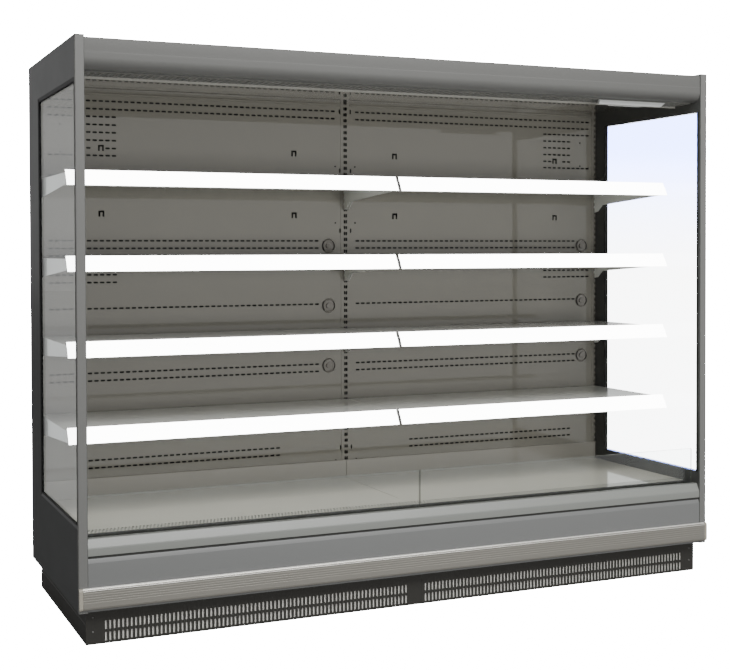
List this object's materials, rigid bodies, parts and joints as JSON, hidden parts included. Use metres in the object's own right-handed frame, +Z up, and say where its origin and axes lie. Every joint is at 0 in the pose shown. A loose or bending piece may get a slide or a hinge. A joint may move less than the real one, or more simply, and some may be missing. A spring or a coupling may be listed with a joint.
{
  "type": "open multideck display fridge",
  "caption": "Open-fronted refrigerated wall cabinet with tilting shelves on slotted uprights, white price rails, glazed end walls, a glass riser, bumper and slotted plinth.",
  "frame": {"origin": "on the floor, under the middle of the cabinet's width and depth", "axes": "+X to the shopper's right along the shelves, -Y out of the open front, +Z up"},
  "size_m": [2.564, 0.916, 2.041],
  "materials": {
    "charcoal_panel": "satin",
    "grey_trim": "satin",
    "end_glass": "clear",
    "insulated_white": "satin",
    "liner_grey": "semi-gloss",
    "deck_beige": "semi-gloss",
    "shelf_grey": "satin",
    "rail_white": "smooth",
    "outlet_black": "matt",
    "lamp_lens": "frosted",
    "riser_glass": "clear",
    "bumper_metal": "anodised",
    "bumper_plastic": "matt",
    "plinth_black": "matt",
    "galvanised": "galvanised",
    "foot_black": "satin",
    "coil_aluminium": "mill",
    "fan_black": "matt",
    "compressor_black": "satin"
  },
  "bodies": {
    "cabinet": {"end_wall_left": "charcoal_panel", "front_post_left": "grey_trim", "end_glass_left": "end_glass", "end_wall_right": "charcoal_panel", "front_post_right": "grey_trim", "end_glass_right": "end_glass", "tub": "insulated_white", "back_wall": "insulated_white", "roof_panel": "insulated_white", "canopy": "grey_trim", "air_outlet": "outlet_black", "ceiling_panel": "liner_grey", "light_bar": "lamp_lens", "upright_left": "liner_grey", "upright_centre": "liner_grey", "upright_right": "liner_grey", "rear_panel_left": "liner_grey", "rear_panel_right": "liner_grey", "air_intake": "deck_beige", "front_nose": "grey_trim", "front_panel": "grey_trim", "bumper_rail": "bumper_metal", "bumper_cap_left": "bumper_plastic", "kick_plate_left": "plinth_black", "plinth_side_left": "plinth_black", "bumper_cap_right": "bumper_plastic", "kick_plate_right": "plinth_black", "plinth_side_right": "plinth_black", "base_frame": "galvanised", "evaporator": "coil_aluminium", "fan_plate": "galvanised", "condenser": "coil_aluminium", "compressor": "compressor_black"},
    "shelf_left_1": {"shelf_left_1": "shelf_grey", "price_rail_left_1": "rail_white"},
    "shelf_left_2": {"shelf_left_2": "shelf_grey", "price_rail_left_2": "rail_white"},
    "shelf_left_3": {"shelf_left_3": "shelf_grey", "price_rail_left_3": "rail_white"},
    "shelf_left_4": {"shelf_left_4": "shelf_grey", "price_rail_left_4": "rail_white"},
    "shelf_right_1": {"shelf_right_1": "shelf_grey", "price_rail_right_1": "rail_white"},
    "shelf_right_2": {"shelf_right_2": "shelf_grey", "price_rail_right_2": "rail_white"},
    "shelf_right_3": {"shelf_right_3": "shelf_grey", "price_rail_right_3": "rail_white"},
    "shelf_right_4": {"shelf_right_4": "shelf_grey", "price_rail_right_4": "rail_white"},
    "evaporator_fan_left": {"evaporator_fan_left": "fan_black"},
    "evaporator_fan_right": {"evaporator_fan_right": "fan_black"},
    "condenser_fan": {"condenser_fan": "fan_black"},
    "deck_tray_left": {"deck_tray_left": "deck_beige"},
    "deck_tray_right": {"deck_tray_right": "deck_beige"},
    "glass_riser_left": {"glass_riser_left": "riser_glass"},
    "glass_riser_right": {"glass_riser_right": "riser_glass"},
    "foot_front_left": {"foot_front_left": "foot_black"},
    "foot_front_right": {"foot_front_right": "foot_black"},
    "foot_rear_left": {"foot_rear_left": "foot_black"},
    "foot_rear_right": {"foot_rear_right": "foot_black"}
  },
  "joints": [
    {"name": "shelf_left_1_tilt", "type": "hinge", "parent": "cabinet", "child": "shelf_left_1", "pos_m": [-0.625, 0.3185, 1.5658], "axis": [-1, 0, 0], "range_deg": [0, 12]},
    {"name": "shelf_left_2_tilt", "type": "hinge", "parent": "cabinet", "child": "shelf_left_2", "pos_m": [-0.625, 0.3185, 1.2658], "axis": [-1, 0, 0], "range_deg": [0, 12]},
    {"name": "shelf_left_3_tilt", "type": "hinge", "parent": "cabinet", "child": "shelf_left_3", "pos_m": [-0.625, 0.3185, 0.9658], "axis": [-1, 0, 0], "range_deg": [0, 12]},
    {"name": "shelf_left_4_tilt", "type": "hinge", "parent": "cabinet", "child": "shelf_left_4", "pos_m": [-0.625, 0.3185, 0.6658], "axis": [-1, 0, 0], "range_deg": [0, 12]},
    {"name": "shelf_right_1_tilt", "type": "hinge", "parent": "cabinet", "child": "shelf_right_1", "pos_m": [0.625, 0.3185, 1.5658], "axis": [-1, 0, 0], "range_deg": [0, 12]},
    {"name": "shelf_right_2_tilt", "type": "hinge", "parent": "cabinet", "child": "shelf_right_2", "pos_m": [0.625, 0.3185, 1.2658], "axis": [-1, 0, 0], "range_deg": [0, 12]},
    {"name": "shelf_right_3_tilt", "type": "hinge", "parent": "cabinet", "child": "shelf_right_3", "pos_m": [0.625, 0.3185, 0.9658], "axis": [-1, 0, 0], "range_deg": [0, 12]},
    {"name": "shelf_right_4_tilt", "type": "hinge", "parent": "cabinet", "child": "shelf_right_4", "pos_m": [0.625, 0.3185, 0.6658], "axis": [-1, 0, 0], "range_deg": [0, 12]},
    {"name": "evaporator_fan_left_spin", "type": "hinge", "parent": "cabinet", "child": "evaporator_fan_left", "pos_m": [-0.625, -0.147, 0.29135], "axis": [0, 1, 0], "continuous": true},
    {"name": "evaporator_fan_right_spin", "type": "hinge", "parent": "cabinet", "child": "evaporator_fan_right", "pos_m": [0.625, -0.147, 0.29135], "axis": [0, 1, 0], "continuous": true},
    {"name": "condenser_fan_spin", "type": "hinge", "parent": "cabinet", "child": "condenser_fan", "pos_m": [0.33, -0.299, 0.1043], "axis": [0, 1, 0], "continuous": true},
    {"name": "deck_tray_left_lift", "type": "slide", "parent": "cabinet", "child": "deck_tray_left", "axis": [0, 0, 1], "range_m": [0, 0.12]},
    {"name": "deck_tray_right_lift", "type": "slide", "parent": "cabinet", "child": "deck_tray_right", "axis": [0, 0, 1], "range_m": [0, 0.12]},
    {"name": "glass_riser_left_lift", "type": "slide", "parent": "cabinet", "child": "glass_riser_left", "axis": [0, 0, 1], "range_m": [0, 0.08]},
    {"name": "glass_riser_right_lift", "type": "slide", "parent": "cabinet", "child": "glass_riser_right", "axis": [0, 0, 1], "range_m": [0, 0.08]},
    {"name": "foot_front_left_turn", "type": "hinge", "parent": "cabinet", "child": "foot_front_left", "pos_m": [-1.2272, -0.3337, 0], "axis": [0, 0, 1], "continuous": true},
    {"name": "foot_front_right_turn", "type": "hinge", "parent": "cabinet", "child": "foot_front_right", "pos_m": [1.2272, -0.3337, 0], "axis": [0, 0, 1], "continuous": true},
    {"name": "foot_rear_left_turn", "type": "hinge", "parent": "cabinet", "child": "foot_rear_left", "pos_m": [-1.2272, 0.3527, 0], "axis": [0, 0, 1], "continuous": true},
    {"name": "foot_rear_right_turn", "type": "hinge", "parent": "cabinet", "child": "foot_rear_right", "pos_m": [1.2272, 0.3527, 0], "axis": [0, 0, 1], "continuous": true}
  ]
}
